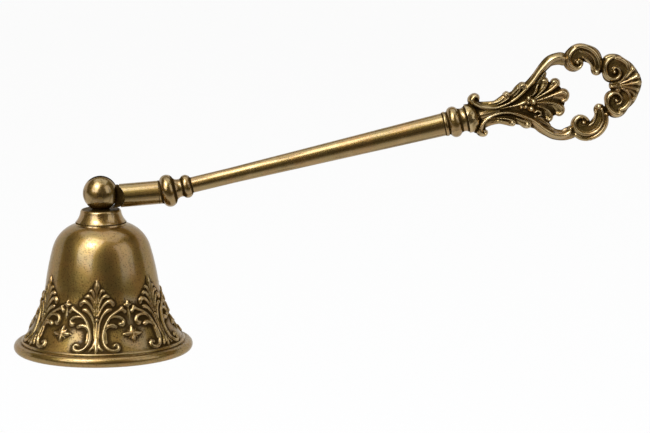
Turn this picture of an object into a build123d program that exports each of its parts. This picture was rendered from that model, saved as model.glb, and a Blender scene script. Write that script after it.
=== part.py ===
from build123d import *
import os
from math import atan2, cos, hypot, radians, sin, sqrt

# Candle snuffer in antique brass.  A flared bell hangs from a slotted ball, and a flat tongue
# on the end of a long turned handle swings in that slot on a cross pin.  The handle ends in a
# cast finger loop of scrolls and shells.
# Millimetres.  The origin is the centre of the bell's mouth, +Z runs up the bell's axis, and
# the handle runs towards +X in the plane Y = 0.

# Clearances
HINGE_CLEARANCE = 0.05       # pin to the tongue's eye, on the radius
SLOT_CLEARANCE = 0.15        # tongue to each cheek of the ball
SWING_CLEARANCE = 0.25       # tongue's edge to the floor of the slot
SEAT_CLEARANCE = 0.03        # studs, spigots and shanks in their bores, on the radius
CUT_OVERRUN = 1.0            # how far a cutting shape runs past what it cuts

# Bell cup, from the mouth up
RIM_RADIUS = 26.9
RIM_BEAD_RADIUS = 1.55
RIM_LAND_WIDTH = 1.0         # flat ring that the rolled rim rests on
BELL_WALL = 1.2
FLARE_INSET = 2.3            # outside of the rolled rim to the foot of the flare, on the radius
FLARE_HEIGHT = 3.1
WAIST_RADIUS = 16.9
WAIST_HEIGHT = 20.8
SHOULDER_RADIUS = 14.6
SHOULDER_HEIGHT = 31.5
CROWN_RADIUS = 7.8
CROWN_HEIGHT = 38.4
CROWN_SLOPE = 17             # degrees below level where the crown starts to curve

# Stepped collar between the crown and the ball
COLLAR_HEIGHT = 4.5
COLLAR_FOOT_HEIGHT = 0.8
COLLAR_FOOT_STEP = 0.25
COLLAR_LIP_RADIUS = 6.15
COLLAR_LIP_HEIGHT = 0.9
COLLAR_LIP_ROUND = 0.8
COLLAR_HOLLOW = 0.22         # depth of the collar's concave side

# Ball, its neck and its stud
BALL_RADIUS = 5.25
BALL_STANDOFF = 4.75         # collar top to the ball's centre
NECK_RADIUS = 2.6
STUD_RADIUS = 2.0
STUD_PROJECTION = 0.8        # stud beyond the nut

# Washer and nut inside the crown
WASHER_RADIUS = 5.0
WASHER_THICKNESS = 0.8
NUT_ACROSS_FLATS = 7.0
NUT_HEIGHT = 3.2

# Hinge
PIVOT_DROP = 1.25            # hinge axis below the ball's centre
PIN_RADIUS = 1.0
TONGUE_THICKNESS = 2.4
TONGUE_HEIGHT = 3.8
EYE_RADIUS = 2.1
HEEL_START = 3.3             # hinge axis to the tall heel that fills the ferrule's mouth
HEEL_HEIGHT = 6.5
SWING_LIMIT = 85             # degrees that the handle lifts from rest

# Ferrule, measured from the hinge axis along its own axis
FERRULE_RISE = 4.0           # degrees above level
FERRULE_START = 5.8
FERRULE_END = 17.55
FERRULE_RADIUS = 3.53
FERRULE_WALL = 0.88
MOUTH_RADIUS = 3.8           # hollowed mouth that clears the ball
MOUTH_CENTRE = 3.5
SHANK_START = 8.6
SHANK_END = 15.0
ROD_RADIUS = 1.5             # threaded tails, spigots and studs of the handle
ROD_DEPTH = 7.0              # how far a rod goes into the piece that takes it
ROD_END_GAP = 0.4            # room at the bottom of a rod's bore

# Neck bead, measured from the bend along the shaft's axis
SHAFT_RISE = 12.7            # degrees above level
BEND_OFFSET = 1.4            # ferrule end to the bend
BEAD_START = -0.7
BEAD_END = 3.5
BEAD_RADIUS = 4.9
BEAD_SIDE_RADIUS = 3.35
COVE_END = 5.7
COVE_RADIUS = 2.75
RING_FOOT_RADIUS = 2.85
RING_RADIUS = 3.53
RING_END = 8.3
TAIL_DEPTH = 3.6             # tongue's threaded tail inside the neck bead

# Shaft
SHAFT_START = 8.6
SHAFT_TAPER_START = 21.0
SHAFT_END = 86.2
SHAFT_TIP_RADIUS = 2.37
SHAFT_BUTT_RADIUS = 3.45

# Collar at the butt of the shaft, lengths along the axis
RIDGE_LENGTH = 1.2
RIDGE_RADIUS = 3.75
GROOVE_LENGTH = 0.25
BUTT_BEAD_LENGTH = 3.4
BUTT_BEAD_RADIUS = 4.7
BUTT_SIDE_RADIUS = 3.75
BUTT_COVE_LENGTH = 2.25
BUTT_COVE_RADIUS = 3.55
BUTT_FOOT_RADIUS = 4.1

# Finger loop
LOOP_LENGTH = 54.0
LOOP_HALF_WIDTH = 15.0
LOOP_WEB = 1.8               # thickness of the ground between the scrolls
BOSS_RADIUS = 4.2
BOSS_LENGTH = 15.0
BOSS_HOLLOW = 0.4            # how far the boss's side sinks below a straight cone
ARM_RADIUS = 1.6
SCROLL_RADIUS = 1.65
END_SCROLL_RADIUS = 1.35
VOLUTE_RADIUS = 1.9
RIB_ROOT_RADIUS = 0.6
FAN_RIB_RADIUS = 1.5
SHELL_RIB_RADIUS = 1.5

# Outline of the loop as shares of its length and half width, with the bulge of the arc that
# leads on to the next point as a share of that arc's chord.  A bulge over zero swells outwards.
LOOP_OUTLINE_SHARES = [
    (0.000, 0.265, 0.00), (0.020, 0.285, 0.46), (0.095, 0.305, -0.16), (0.200, 0.265, 0.20),
    (0.260, 0.315, -0.06), (0.285, 0.355, 0.22), (0.355, 0.445, -0.03), (0.450, 0.695, 0.16),
    (0.605, 0.855, 0.27), (0.810, 0.600, 0.22), (0.885, 0.495, 0.12), (0.975, 0.140, 0.20),
    (0.970, -0.245, 0.12), (0.855, -0.600, 0.20), (0.770, -0.675, 0.26), (0.550, -0.885, 0.13),
    (0.385, -0.605, 0.00), (0.345, -0.485, 0.18), (0.270, -0.365, 0.13), (0.200, -0.295, -0.14),
    (0.100, -0.295, 0.46), (0.015, -0.320, 0.00), (0.000, -0.280, 0.00),
]
# The finger gap, in the same way.  A bulge over zero swells out of the gap into the metal.
GAP_OUTLINE_SHARES = [
    (0.470, 0.440, 0.28), (0.595, 0.585, -0.42), (0.700, 0.560, 0.20), (0.730, 0.455, 0.00),
    (0.730, 0.335, -0.20), (0.765, 0.235, -0.14), (0.815, 0.035, 0.00), (0.815, -0.105, -0.13),
    (0.745, -0.320, -0.27), (0.700, -0.400, 0.19), (0.665, -0.640, -0.43), (0.550, -0.605, 0.25),
    (0.445, -0.480, -0.18), (0.475, -0.375, -0.36), (0.535, -0.180, -0.42), (0.550, 0.140, -0.36),
    (0.495, 0.355, -0.20),
]
# Centre lines of the raised scrolls, as points that tangent arcs join.
UPPER_ARM_SHARES = [(0.080, 0.175), (0.180, 0.133), (0.290, 0.240), (0.393, 0.433), (0.485, 0.687),
                    (0.555, 0.760), (0.590, 0.727)]
LOWER_ARM_SHARES = [(0.083, -0.193), (0.180, -0.140), (0.280, -0.273), (0.365, -0.440),
                    (0.443, -0.687), (0.510, -0.787), (0.543, -0.753)]
UPPER_SCROLL_SHARES = [(0.760, 0.340), (0.772, 0.560), (0.735, 0.787), (0.683, 0.845), (0.634, 0.747),
                       (0.630, 0.570)]
LOWER_SCROLL_SHARES = [(0.730, -0.413), (0.739, -0.600), (0.702, -0.803), (0.643, -0.892),
                       (0.590, -0.800), (0.584, -0.630)]
UPPER_END_SHARES = [(0.861, 0.527), (0.820, 0.460), (0.798, 0.287), (0.820, 0.147), (0.857, 0.160),
                    (0.867, 0.260)]
LOWER_END_SHARES = [(0.831, -0.620), (0.790, -0.533), (0.776, -0.353), (0.802, -0.220),
                    (0.839, -0.253), (0.837, -0.347)]
VOLUTE_SHARES = [(0.058, 0.300), (0.060, -0.325), (0.658, 0.540), (0.615, -0.575)]
FAN_ROOT_SHARE = (0.365, 0.000)
FAN_TIP_SHARES = [(0.475, 0.365), (0.543, 0.290), (0.575, 0.000), (0.533, -0.315), (0.460, -0.410)]
SHELL_ROOT_SHARE = (0.830, -0.040)
SHELL_TIP_SHARES = [(0.930, 0.420), (0.965, 0.210), (0.985, -0.045), (0.963, -0.290), (0.915, -0.500)]

# Heights and places worked out from the sizes above
FLARE_RADIUS = RIM_RADIUS - FLARE_INSET
COLLAR_TOP = CROWN_HEIGHT + COLLAR_HEIGHT
BALL_HEIGHT = COLLAR_TOP + BALL_STANDOFF
PIVOT_HEIGHT = BALL_HEIGHT - PIVOT_DROP
STUD_BORE_RADIUS = STUD_RADIUS + SEAT_CLEARANCE
ROD_BORE_RADIUS = ROD_RADIUS + SEAT_CLEARANCE
FERRULE_BORE_RADIUS = FERRULE_RADIUS - FERRULE_WALL
BEND_DISTANCE = FERRULE_END + BEND_OFFSET
LOOP_START = (SHAFT_END + RIDGE_LENGTH + GROOVE_LENGTH + BUTT_BEAD_LENGTH + BUTT_COVE_LENGTH)


def tilted_plane(origin, rise):
    """Plane whose X runs along the handle at this rise, and whose Y is up across it."""
    direction = (cos(radians(rise)), 0, sin(radians(rise)))
    return Plane(origin=origin, x_dir=direction, z_dir=(0, -1, 0))


PIVOT = Vector(0, 0, PIVOT_HEIGHT)
FERRULE_PLANE = tilted_plane(PIVOT, FERRULE_RISE)
SHAFT_PLANE = tilted_plane(FERRULE_PLANE.from_local_coords((BEND_DISTANCE, 0, 0)), SHAFT_RISE)


def spun(*edges):
    """Solid of revolution about the bell's axis, from edges given as radius and height."""
    return revolve(Plane.XZ * make_face(edges), Axis.Z)


def turned(*edges):
    """Solid of revolution about a local X axis, from edges given as length and radius."""
    return revolve(make_face(edges), Axis.X)


def round_bar(radius, start, end):
    """Round bar along a local X axis."""
    return Pos(start, 0, 0) * Rot(Y=90) * Cylinder(
        radius, end - start, align=(Align.CENTER, Align.CENTER, Align.MIN))


def bell_side():
    """Outer side of the bell from the crown to the flare, as three tangent arcs."""
    crown_way = (cos(radians(CROWN_SLOPE)), -sin(radians(CROWN_SLOPE)))
    shoulder = TangentArc((CROWN_RADIUS, CROWN_HEIGHT), (SHOULDER_RADIUS, SHOULDER_HEIGHT),
                          tangent=crown_way)
    wall = TangentArc(shoulder @ 1, (WAIST_RADIUS, WAIST_HEIGHT), tangent=shoulder % 1)
    flare = TangentArc(wall @ 1, (FLARE_RADIUS, FLARE_HEIGHT), tangent=wall % 1)
    return shoulder, wall, flare


def inward(curve, share):
    """Point of the bell's inner side, one wall in from this share of an outer curve."""
    way = curve % share
    return (curve @ share) + Vector(way.Y, -way.X, 0) * BELL_WALL


def make_bell_cup():
    shoulder, wall, flare = bell_side()
    bead_height = sqrt(RIM_BEAD_RADIUS ** 2 - (RIM_LAND_WIDTH / 2) ** 2)
    bead_centre = (RIM_RADIUS - RIM_BEAD_RADIUS, bead_height)
    inner_crown = inward(shoulder, 0)
    inner_shoulder = TangentArc(inner_crown, inward(shoulder, 1), tangent=shoulder % 0)
    inner_wall = TangentArc(inner_shoulder @ 1, inward(wall, 1), tangent=wall % 0)
    inner_flare = TangentArc(inner_wall @ 1, inward(flare, 1), tangent=flare % 0)
    wall_face = make_face([
        Line((STUD_BORE_RADIUS, CROWN_HEIGHT), shoulder @ 0), shoulder, wall, flare,
        Line(flare @ 1, bead_centre), Line(bead_centre, inner_flare @ 1),
        inner_flare, inner_wall, inner_shoulder,
        Line(inner_crown, (STUD_BORE_RADIUS, inner_crown.Y)),
        Line((STUD_BORE_RADIUS, inner_crown.Y), (STUD_BORE_RADIUS, CROWN_HEIGHT))])
    bead = Pos(*bead_centre) * Circle(RIM_BEAD_RADIUS)
    below = Rectangle(RIM_RADIUS + CUT_OVERRUN, RIM_BEAD_RADIUS, align=(Align.MIN, Align.MAX))
    return revolve(Plane.XZ * (wall_face + bead - below), Axis.Z)


# Flat ceiling inside the bell, and the washer and nut under it
CEILING_HEIGHT = inward(bell_side()[0], 0).Y
NUT_TOP = CEILING_HEIGHT - WASHER_THICKNESS
NUT_BOTTOM = NUT_TOP - NUT_HEIGHT


def make_crown_collar():
    foot_top = CROWN_HEIGHT + COLLAR_FOOT_HEIGHT
    lip_base = COLLAR_TOP - COLLAR_LIP_HEIGHT
    foot_inner = (CROWN_RADIUS - COLLAR_FOOT_STEP, foot_top)
    lip_corner = (COLLAR_LIP_RADIUS - COLLAR_LIP_ROUND, COLLAR_TOP)
    side = SagittaArc(foot_inner, (COLLAR_LIP_RADIUS, lip_base), COLLAR_HOLLOW)
    lip = TangentArc((COLLAR_LIP_RADIUS, lip_base), lip_corner, tangent=(0, 1))
    return spun(Line((STUD_BORE_RADIUS, CROWN_HEIGHT), (CROWN_RADIUS, CROWN_HEIGHT)),
                Line((CROWN_RADIUS, CROWN_HEIGHT), foot_inner), side, lip,
                Line(lip_corner, (STUD_BORE_RADIUS, COLLAR_TOP)),
                Line((STUD_BORE_RADIUS, COLLAR_TOP), (STUD_BORE_RADIUS, CROWN_HEIGHT)))


def upright_bar(radius, bottom, top):
    """Round bar along the bell's axis between two heights."""
    return Pos(0, 0, bottom) * Cylinder(
        radius, top - bottom, align=(Align.CENTER, Align.CENTER, Align.MIN))


def cross_bar(radius, length):
    """Round bar along Y, centred on the hinge axis."""
    return Pos(PIVOT) * Rot(X=90) * Cylinder(radius, length)


def make_ball_head():
    ball = Pos(0, 0, BALL_HEIGHT) * Sphere(BALL_RADIUS)
    ball -= upright_bar(BALL_RADIUS, BALL_HEIGHT - BALL_RADIUS - CUT_OVERRUN, COLLAR_TOP)
    neck = upright_bar(NECK_RADIUS, COLLAR_TOP, PIVOT_HEIGHT)
    stud = upright_bar(STUD_RADIUS, NUT_BOTTOM - STUD_PROJECTION, COLLAR_TOP)
    reach = EYE_RADIUS + SWING_CLEARANCE
    far = BALL_RADIUS + PIVOT_DROP + CUT_OVERRUN
    heel_angle = atan2(HEEL_HEIGHT / 2, HEEL_START) + radians(FERRULE_RISE + SWING_LIMIT)
    back = SWING_CLEARANCE - hypot(HEEL_START, HEEL_HEIGHT / 2) * cos(heel_angle)
    opening = Plane.XZ * Pos(-back, -reach) * Rectangle(back + far, reach + far, align=Align.MIN)
    slot_face = fillet(opening.vertices().sort_by(Axis.X)[:2].sort_by(Axis.Z)[0], reach)
    slot = Pos(PIVOT) * extrude(slot_face, TONGUE_THICKNESS / 2 + SLOT_CLEARANCE, both=True)
    return ball + neck + stud - slot - cross_bar(PIN_RADIUS + SEAT_CLEARANCE, 2 * far)


def make_hinge_pin():
    return cross_bar(PIN_RADIUS, 2 * BALL_RADIUS) & Pos(0, 0, BALL_HEIGHT) * Sphere(BALL_RADIUS)


def make_crown_washer():
    return (upright_bar(WASHER_RADIUS, NUT_TOP, CEILING_HEIGHT)
            - upright_bar(STUD_BORE_RADIUS, NUT_TOP - CUT_OVERRUN, CEILING_HEIGHT + CUT_OVERRUN))


def make_crown_nut():
    hexagon = RegularPolygon(NUT_ACROSS_FLATS / 2, 6, major_radius=False)
    return (Pos(0, 0, NUT_BOTTOM) * extrude(hexagon, NUT_HEIGHT)
            - upright_bar(STUD_BORE_RADIUS, NUT_BOTTOM - CUT_OVERRUN, NUT_TOP + CUT_OVERRUN))


def make_hinge_tongue():
    blade = Circle(EYE_RADIUS) + Rectangle(
        (SHANK_START + SHANK_END) / 2, TONGUE_HEIGHT, align=(Align.MIN, Align.CENTER))
    heel = Pos(HEEL_START, 0) * Rectangle(
        SHANK_START - HEEL_START, HEEL_HEIGHT, align=(Align.MIN, Align.CENTER))
    heel &= Pos(MOUTH_CENTRE, 0) * Circle(MOUTH_RADIUS - SEAT_CLEARANCE)
    ball_centre = FERRULE_PLANE.to_local_coords(Vector(0, 0, BALL_HEIGHT))
    ball_room = Pos(ball_centre) * Circle(BALL_RADIUS + SLOT_CLEARANCE)
    under_slot = Pos(0, -EYE_RADIUS) * Rectangle(
        2 * SHANK_START, 2 * BALL_RADIUS, align=(Align.CENTER, Align.MAX))
    tongue = extrude(blade + (heel - (ball_room & under_slot)), TONGUE_THICKNESS / 2, both=True)
    tongue += round_bar(FERRULE_BORE_RADIUS - SEAT_CLEARANCE, SHANK_START, SHANK_END)
    tongue += round_bar(ROD_RADIUS, SHANK_END, FERRULE_END + TAIL_DEPTH)
    eye = Cylinder(PIN_RADIUS + HINGE_CLEARANCE, TONGUE_THICKNESS + CUT_OVERRUN)
    return FERRULE_PLANE * (tongue - eye)


def make_ferrule():
    tube = round_bar(FERRULE_RADIUS, FERRULE_START, FERRULE_END)
    bore = round_bar(FERRULE_BORE_RADIUS, FERRULE_START - CUT_OVERRUN, FERRULE_END + CUT_OVERRUN)
    mouth = Pos(MOUTH_CENTRE, 0, 0) * Cylinder(MOUTH_RADIUS, 2 * FERRULE_RADIUS + CUT_OVERRUN)
    return FERRULE_PLANE * (tube - bore - mouth)


def make_neck_bead():
    bead_start = (BEAD_START, BEAD_SIDE_RADIUS)
    bead_end = (BEAD_END, BEAD_SIDE_RADIUS)
    cove_end = (COVE_END, RING_FOOT_RADIUS)
    ring_end = (RING_END, RING_FOOT_RADIUS)
    seat = (SHAFT_START, SHAFT_TIP_RADIUS)
    beads = turned(
        Line((BEAD_START, 0), bead_start),
        ThreePointArc(bead_start, ((BEAD_START + BEAD_END) / 2, BEAD_RADIUS), bead_end),
        ThreePointArc(bead_end, ((BEAD_END + COVE_END) / 2, COVE_RADIUS), cove_end),
        ThreePointArc(cove_end, ((COVE_END + RING_END) / 2, RING_RADIUS), ring_end),
        Line(ring_end, seat), Line(seat, (SHAFT_START, 0)), Line((SHAFT_START, 0), (BEAD_START, 0)))
    spigot = round_bar(ROD_RADIUS, SHAFT_START, SHAFT_START + ROD_DEPTH)
    plinth = round_bar(FERRULE_RADIUS, FERRULE_END, BEND_DISTANCE)
    tail_bore = round_bar(ROD_BORE_RADIUS, FERRULE_END - CUT_OVERRUN,
                          FERRULE_END + TAIL_DEPTH + ROD_END_GAP)
    return SHAFT_PLANE * (beads + spigot) + FERRULE_PLANE * plinth - FERRULE_PLANE * tail_bore


def make_shaft():
    tip = (SHAFT_START, SHAFT_TIP_RADIUS)
    taper = (SHAFT_TAPER_START, SHAFT_TIP_RADIUS)
    butt = (SHAFT_END, SHAFT_BUTT_RADIUS)
    shaft = turned(Line((SHAFT_START, 0), tip), Line(tip, taper), Line(taper, butt),
                   Line(butt, (SHAFT_END, 0)), Line((SHAFT_END, 0), (SHAFT_START, 0)))
    tip_bore = round_bar(ROD_BORE_RADIUS, SHAFT_START - CUT_OVERRUN,
                         SHAFT_START + ROD_DEPTH + ROD_END_GAP)
    butt_bore = round_bar(ROD_BORE_RADIUS, SHAFT_END - ROD_DEPTH - ROD_END_GAP,
                          SHAFT_END + CUT_OVERRUN)
    return SHAFT_PLANE * (shaft - tip_bore - butt_bore)


def make_butt_collar():
    ridge_end = SHAFT_END + RIDGE_LENGTH
    bead_start = ridge_end + GROOVE_LENGTH
    bead_end = bead_start + BUTT_BEAD_LENGTH
    ridge_middle = (SHAFT_END + ridge_end) / 2
    bead_middle = (bead_start + bead_end) / 2
    cove_middle = (bead_end + LOOP_START) / 2
    foot = (LOOP_START, BUTT_FOOT_RADIUS)
    collar = turned(
        Line((SHAFT_END, 0), (SHAFT_END, SHAFT_BUTT_RADIUS)),
        ThreePointArc((SHAFT_END, SHAFT_BUTT_RADIUS), (ridge_middle, RIDGE_RADIUS),
                      (ridge_end, SHAFT_BUTT_RADIUS)),
        Line((ridge_end, SHAFT_BUTT_RADIUS), (bead_start, SHAFT_BUTT_RADIUS)),
        ThreePointArc((bead_start, SHAFT_BUTT_RADIUS), (bead_middle, BUTT_BEAD_RADIUS),
                      (bead_end, BUTT_SIDE_RADIUS)),
        ThreePointArc((bead_end, BUTT_SIDE_RADIUS), (cove_middle, BUTT_COVE_RADIUS), foot),
        Line(foot, (LOOP_START, 0)), Line((LOOP_START, 0), (SHAFT_END, 0)))
    bore = round_bar(ROD_BORE_RADIUS, SHAFT_END - CUT_OVERRUN, LOOP_START + CUT_OVERRUN)
    return SHAFT_PLANE * (collar - bore)


def make_handle_stud():
    return SHAFT_PLANE * round_bar(ROD_RADIUS, SHAFT_END - ROD_DEPTH, LOOP_START + ROD_DEPTH)


def loop_point(shares):
    """Place on the loop from shares of its length and half width."""
    return (shares[0] * LOOP_LENGTH, shares[1] * LOOP_HALF_WIDTH)


def bulged_outline(table):
    """Closed face whose corners are joined by arcs, each bulged by a share of its chord."""
    edges = []
    for here, there in zip(table, table[1:] + table[:1]):
        start = Vector(*loop_point(here))
        end = Vector(*loop_point(there))
        bulge_share = here[2]
        if bulge_share:
            edges.append(SagittaArc(start, end, bulge_share * (end - start).length))
        else:
            edges.append(Line(start, end))
    return make_face(edges)


def scroll(table, radius):
    """Round bar with ball ends along tangent arcs through the table's points."""
    points = [loop_point(shares) for shares in table]
    arcs = [ThreePointArc(*points[:3])]
    for point in points[3:]:
        arcs.append(TangentArc(arcs[-1] @ 1, point, tangent=arcs[-1] % 1))
    section = Plane(origin=arcs[0] @ 0, z_dir=arcs[0] % 0) * Circle(radius)
    bar = sweep(section, path=Wire(arcs))
    return [bar, Pos(arcs[0] @ 0) * Sphere(radius), Pos(arcs[-1] @ 1) * Sphere(radius)]


def rib(root_share, tip_share, tip_radius):
    """Rib that widens from the root of a shell to a round tip."""
    root = Vector(*loop_point(root_share))
    tip = Vector(*loop_point(tip_share))
    length = (tip - root).length
    swell = (length - tip_radius, tip_radius)
    blank = turned(Line((0, 0), (0, RIB_ROOT_RADIUS)), Line((0, RIB_ROOT_RADIUS), swell),
                   TangentArc(swell, (length, 0), tangent=(1, 0)), Line((length, 0), (0, 0)))
    return Pos(root) * Rot(Z=Vector(1, 0, 0).get_signed_angle(tip - root)) * blank


def make_handle_loop():
    web = extrude(bulged_outline(LOOP_OUTLINE_SHARES) - bulged_outline(GAP_OUTLINE_SHARES),
                  LOOP_WEB / 2, both=True)
    boss_tip = (BOSS_LENGTH, LOOP_WEB / 2)
    boss = turned(Line((0, 0), (0, BOSS_RADIUS)), SagittaArc((0, BOSS_RADIUS), boss_tip, -BOSS_HOLLOW),
                  Line(boss_tip, (BOSS_LENGTH, 0)), Line((BOSS_LENGTH, 0), (0, 0)))
    raised = [boss]
    for table, radius in ((UPPER_ARM_SHARES, ARM_RADIUS), (LOWER_ARM_SHARES, ARM_RADIUS),
                          (UPPER_SCROLL_SHARES, SCROLL_RADIUS), (LOWER_SCROLL_SHARES, SCROLL_RADIUS),
                          (UPPER_END_SHARES, END_SCROLL_RADIUS),
                          (LOWER_END_SHARES, END_SCROLL_RADIUS)):
        raised += scroll(table, radius)
    raised += [Pos(*loop_point(shares)) * Sphere(VOLUTE_RADIUS) for shares in VOLUTE_SHARES]
    raised += [rib(FAN_ROOT_SHARE, tip, FAN_RIB_RADIUS) for tip in FAN_TIP_SHARES]
    raised += [rib(SHELL_ROOT_SHARE, tip, SHELL_RIB_RADIUS) for tip in SHELL_TIP_SHARES]
    stud_bore = round_bar(ROD_BORE_RADIUS, -CUT_OVERRUN, ROD_DEPTH + ROD_END_GAP)
    return SHAFT_PLANE * Pos(LOOP_START, 0, 0) * (web + raised - stud_bore)


PIECES = {
    "bell_cup": make_bell_cup,
    "crown_collar": make_crown_collar,
    "ball_head": make_ball_head,
    "crown_washer": make_crown_washer,
    "crown_nut": make_crown_nut,
    "hinge_pin": make_hinge_pin,
    "hinge_tongue": make_hinge_tongue,
    "ferrule": make_ferrule,
    "neck_bead": make_neck_bead,
    "shaft": make_shaft,
    "butt_collar": make_butt_collar,
    "handle_stud": make_handle_stud,
    "handle_loop": make_handle_loop,
}

os.makedirs("parts", exist_ok=True)
for name, make in PIECES.items():
    export_step(make(), f"parts/{name}.step")
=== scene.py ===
import math

import bpy
import numpy as np
from mathutils import Matrix, Vector


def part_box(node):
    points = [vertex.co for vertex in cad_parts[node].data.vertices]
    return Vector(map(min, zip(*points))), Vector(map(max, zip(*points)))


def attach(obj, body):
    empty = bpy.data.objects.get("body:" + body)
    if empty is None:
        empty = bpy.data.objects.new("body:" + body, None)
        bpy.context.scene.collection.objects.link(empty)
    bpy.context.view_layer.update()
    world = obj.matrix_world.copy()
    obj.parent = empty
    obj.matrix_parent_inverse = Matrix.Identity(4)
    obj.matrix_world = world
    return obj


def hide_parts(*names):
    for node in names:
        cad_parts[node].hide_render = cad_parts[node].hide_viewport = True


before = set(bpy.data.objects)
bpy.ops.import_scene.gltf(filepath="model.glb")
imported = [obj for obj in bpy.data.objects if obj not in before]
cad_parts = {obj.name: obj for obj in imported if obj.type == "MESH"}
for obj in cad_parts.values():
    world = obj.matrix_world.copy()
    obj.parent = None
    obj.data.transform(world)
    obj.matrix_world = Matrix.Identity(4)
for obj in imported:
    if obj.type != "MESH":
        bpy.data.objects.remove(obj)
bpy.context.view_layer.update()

# Bell cup
# A cast brass bell, turned smooth inside and round its rolled rim, with a frieze of six palmettes
# raised round the flare.  The stud of the ball clamps it through the hole in its crown.
MM = 0.001
RIM_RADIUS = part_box("bell_cup")[1].x / MM
RIM_BEAD_RADIUS = 1.55
RIM_LAND_WIDTH = 1.0
BELL_WALL = 1.2
FLARE_FOOT = (RIM_RADIUS - 2.3, 3.1)
WAIST = (16.9, 20.8)
SHOULDER = (14.6, 31.5)
CROWN = (7.8, 38.4)
CROWN_SLOPE = math.radians(17)
STUD_BORE_RADIUS = 2.03
PALMETTES = 6
PALMETTE_TURN = math.radians(-5)     # first palmette, round the bell from its front
FRIEZE_RADIUS = 20.0                 # radius at which the frieze is drawn flat
FRIEZE_TOP = 24.8
FRIEZE_ROWS = 118
HALF_PALMETTE_COLUMNS = 44
FILLET_HEIGHT = 0.35                 # thin raised line that closes the frieze above the rim
FILLET_HALF_WIDTH = 0.32
FILLET_CREST = 0.32
BEAD_PITCH = 0.12                    # spacing of the round beads that a stroke is made of
FRIEZE_RIDGE = 0.30                  # share of a sharp ridge in a stroke's rounded section
FRIEZE_ROUNDNESS = 0.6
ARC_POINTS = 200
PLAIN_ROWS = 22                      # rows of the plain crown, and of the inside
BEAD_ROWS = 18
TUCK_ROWS = 8
BARE_LIFT = 0.3                      # lift at which the ground stops counting as bare
WAX_AND_SHADE_HAZE = ((0.85, 7.0), (0.50, 16.0))   # weights of old wax and painted shade on the ground near the strokes, and their reach in cells
CREST_CELLS = 3.0
CREST_LIFT = 0.35
BELL_RELIEF_RANGE = (-1, 0.7)

# Right half of one palmette, drawn flat in millimetres: the crest of each stroke, and its middle
# line as places across and up, each with the stroke's half width there.
BUD_STROKES = [
    (0.70, [(0, 24.0, 0.15), (0, 23.2, 0.55), (0, 22.3, 0.98), (0, 21.4, 1.12), (0, 20.5, 0.80),
            (0, 19.3, 0.42)]),
    (0.50, [(0, 19.4, 0.40), (0, 16.0, 0.36), (0, 12.3, 0.30)]),
    (0.58, [(0.40, 14.5, 0.24), (0.68, 17.0, 0.34), (1.10, 19.0, 0.48), (1.65, 20.25, 0.58),
            (2.45, 20.2, 0.42)]),
]
RAY_STROKES = [
    (0.62, [(0.38, 11.8, 0.24), (0.80, 14.5, 0.36), (1.35, 16.6, 0.46), (2.05, 17.9, 0.58),
            (2.95, 18.4, 0.74), (3.80, 18.2, 0.55)]),
    (0.70, [(0.60, 11.4, 0.24), (1.35, 13.6, 0.38), (2.20, 15.2, 0.48), (3.20, 16.2, 0.62),
            (4.30, 16.55, 0.85), (5.20, 16.1, 0.80), (5.45, 15.3, 0.55)]),
    (0.62, [(0.70, 8.6, 0.24), (1.00, 9.8, 0.34), (1.65, 11.5, 0.44), (2.55, 12.8, 0.58),
            (3.60, 13.65, 0.74), (4.50, 13.8, 0.55)]),
]
STEM_STROKES = [
    (0.60, [(0, 10.45, 0.72)]),
    (0.55, [(0, 11.75, 0.38)]),
    (0.45, [(0, 9.6, 0.30), (0, 7.0, 0.34), (0, 5.0, 0.34)]),
    (0.40, [(0.76, 9.2, 0.24), (0.68, 7.0, 0.30), (0.55, 5.0, 0.30)]),
    (0.66, [(0, 5.0, 0.28), (0, 3.5, 0.42), (0, 2.1, 0.58), (0, 0.95, 0.22)]),
    (0.55, [(0.38, 4.6, 0.24), (0.66, 3.2, 0.34), (1.02, 2.2, 0.42), (1.55, 1.6, 0.30)]),
]
SCROLL_STROKES = [
    (0.68, [(4.75, 2.75, 0.42), (5.30, 3.05, 0.45), (5.85, 2.50, 0.48), (5.65, 1.70, 0.50),
            (4.70, 1.30, 0.50), (3.50, 1.60, 0.50), (2.50, 2.60, 0.52), (1.95, 4.10, 0.55),
            (1.85, 5.60, 0.57), (2.10, 7.10, 0.57), (2.60, 8.60, 0.57), (3.35, 10.2, 0.56),
            (4.25, 11.4, 0.52), (5.40, 12.35, 0.48), (6.80, 13.15, 0.48), (7.80, 13.7, 0.46)]),
    (0.66, [(7.50, 13.6, 0.44), (8.40, 14.2, 0.60)]),
    (0.66, [(7.70, 13.5, 0.44), (8.60, 13.55, 0.55), (9.20, 12.95, 0.62)]),
    (0.42, [(2.45, 7.6, 0.24), (2.62, 6.2, 0.30), (2.62, 4.8, 0.30), (2.80, 3.6, 0.24)]),
    (0.66, [(4.00, 11.0, 0.28), (5.10, 11.4, 0.42), (6.40, 11.45, 0.50), (7.50, 11.1, 0.52),
            (8.20, 10.35, 0.54), (8.30, 9.60, 0.60), (7.85, 9.00, 0.76), (7.25, 9.05, 0.62)]),
    (0.70, [(2.20, 6.80, 0.28), (2.60, 7.65, 0.42), (3.25, 8.40, 0.56), (4.20, 8.75, 0.68),
            (5.10, 8.60, 0.74), (5.70, 8.35, 0.55)]),
]
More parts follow.
